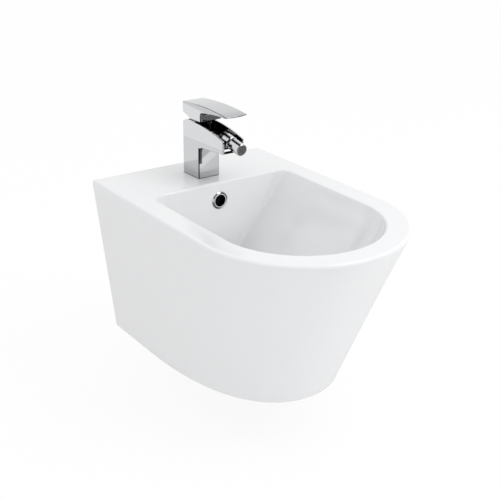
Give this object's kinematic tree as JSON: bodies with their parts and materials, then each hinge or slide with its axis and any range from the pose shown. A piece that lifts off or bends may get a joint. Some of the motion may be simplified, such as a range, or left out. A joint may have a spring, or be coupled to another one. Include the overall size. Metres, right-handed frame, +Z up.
{
  "type": "wall-hung bidet",
  "caption": "White ceramic wall-hung bidet with a flat rim, round front and tapered shell, a chrome single-lever tap with a swivel nozzle, an overflow ring and a push-plug waste.",
  "frame": {"origin": "midway between the two wall fixing holes, on the wall plane", "axes": "+X to the right seen from the front, +Y into the wall, +Z up"},
  "size_m": [0.3588, 0.5274, 0.4292],
  "materials": {
    "glaze": "glossy white glaze",
    "chrome": "polished chrome plate",
    "nozzle_brass": "polished plated brass",
    "steel": "zinc plated",
    "brass": "machined brass",
    "black_rubber": "matt black rubber",
    "white_plastic": "moulded white plastic",
    "grey_plastic": "moulded grey plastic",
    "disc_ceramic": "lapped alumina"
  },
  "bodies": {
    "base": {"ceramic_rim": "glaze", "ceramic_bowl": "glaze", "ceramic_shell": "glaze", "overflow_ring": "chrome", "wall_sleeves": "white_plastic", "wall_washers": "steel", "wall_nuts": "steel", "tap_body": "chrome", "base_gasket": "black_rubber", "fixing_stud": "steel", "clamp_gasket": "black_rubber", "clamp_plate": "steel", "clamp_nut": "brass", "cartridge_housing": "white_plastic", "cartridge_base": "grey_plastic", "cartridge_seals": "black_rubber", "fixed_disc": "disc_ceramic", "retaining_nut": "brass", "dome_cover": "chrome", "ball_seal": "black_rubber", "socket_collar": "chrome", "waste_body": "chrome", "waste_upper_seal": "black_rubber", "waste_lower_seal": "black_rubber", "waste_backnut": "brass", "click_housing": "white_plastic", "waste_spring": "steel"},
    "cartridge_rotor": {"cartridge_driver": "grey_plastic", "stem_pivot_pin": "steel"},
    "lever_group": {"lever_stem": "brass", "lever": "chrome", "lever_grub_screw": "steel", "lever_plug": "grey_plastic"},
    "disc_group": {"sliding_disc": "disc_ceramic", "disc_carrier": "grey_plastic"},
    "nozzle_seat": {"ball_seat_ring": "white_plastic"},
    "nozzle": {"nozzle_ball": "nozzle_brass", "aerator_housing": "chrome", "aerator_insert": "grey_plastic", "aerator_washer": "black_rubber"},
    "waste_plug": {"waste_plug_cap": "chrome", "waste_plug_seal": "black_rubber", "waste_plug_stem": "brass"}
  },
  "joints": [
    {"name": "lever_turn", "type": "hinge", "parent": "base", "child": "cartridge_rotor", "pos_m": [0, -0.072, 0.172], "axis": [0, 0, 1], "range_deg": [-50, 50]},
    {"name": "lever_lift", "type": "hinge", "parent": "cartridge_rotor", "child": "lever_group", "pos_m": [0, -0.072, 0.172], "axis": [-1, 0, 0], "range_deg": [0, 25]},
    {"name": "disc_slide", "type": "slide", "parent": "cartridge_rotor", "child": "disc_group", "axis": [0, -1, 0], "range_m": [0, 0.0024]},
    {"name": "nozzle_pan", "type": "hinge", "parent": "base", "child": "nozzle_seat", "pos_m": [0, -0.1643, 0.1652], "axis": [0, -0.1736, 0.9848], "range_deg": [-12, 12]},
    {"name": "nozzle_tilt", "type": "hinge", "parent": "nozzle_seat", "child": "nozzle", "pos_m": [0, -0.1643, 0.1652], "axis": [1, 0, 0], "range_deg": [-12, 12]},
    {"name": "waste_plug_press", "type": "slide", "parent": "base", "child": "waste_plug", "axis": [0, 0, -1], "range_m": [0, 0.008], "stiffness_N_per_m": 400, "springref_m": -0.01, "deforming": ["waste_spring"]}
  ],
  "couplings": [
    {"joint": "disc_slide", "follows": "lever_lift", "m_per_rad": 0.0053}
  ]
}
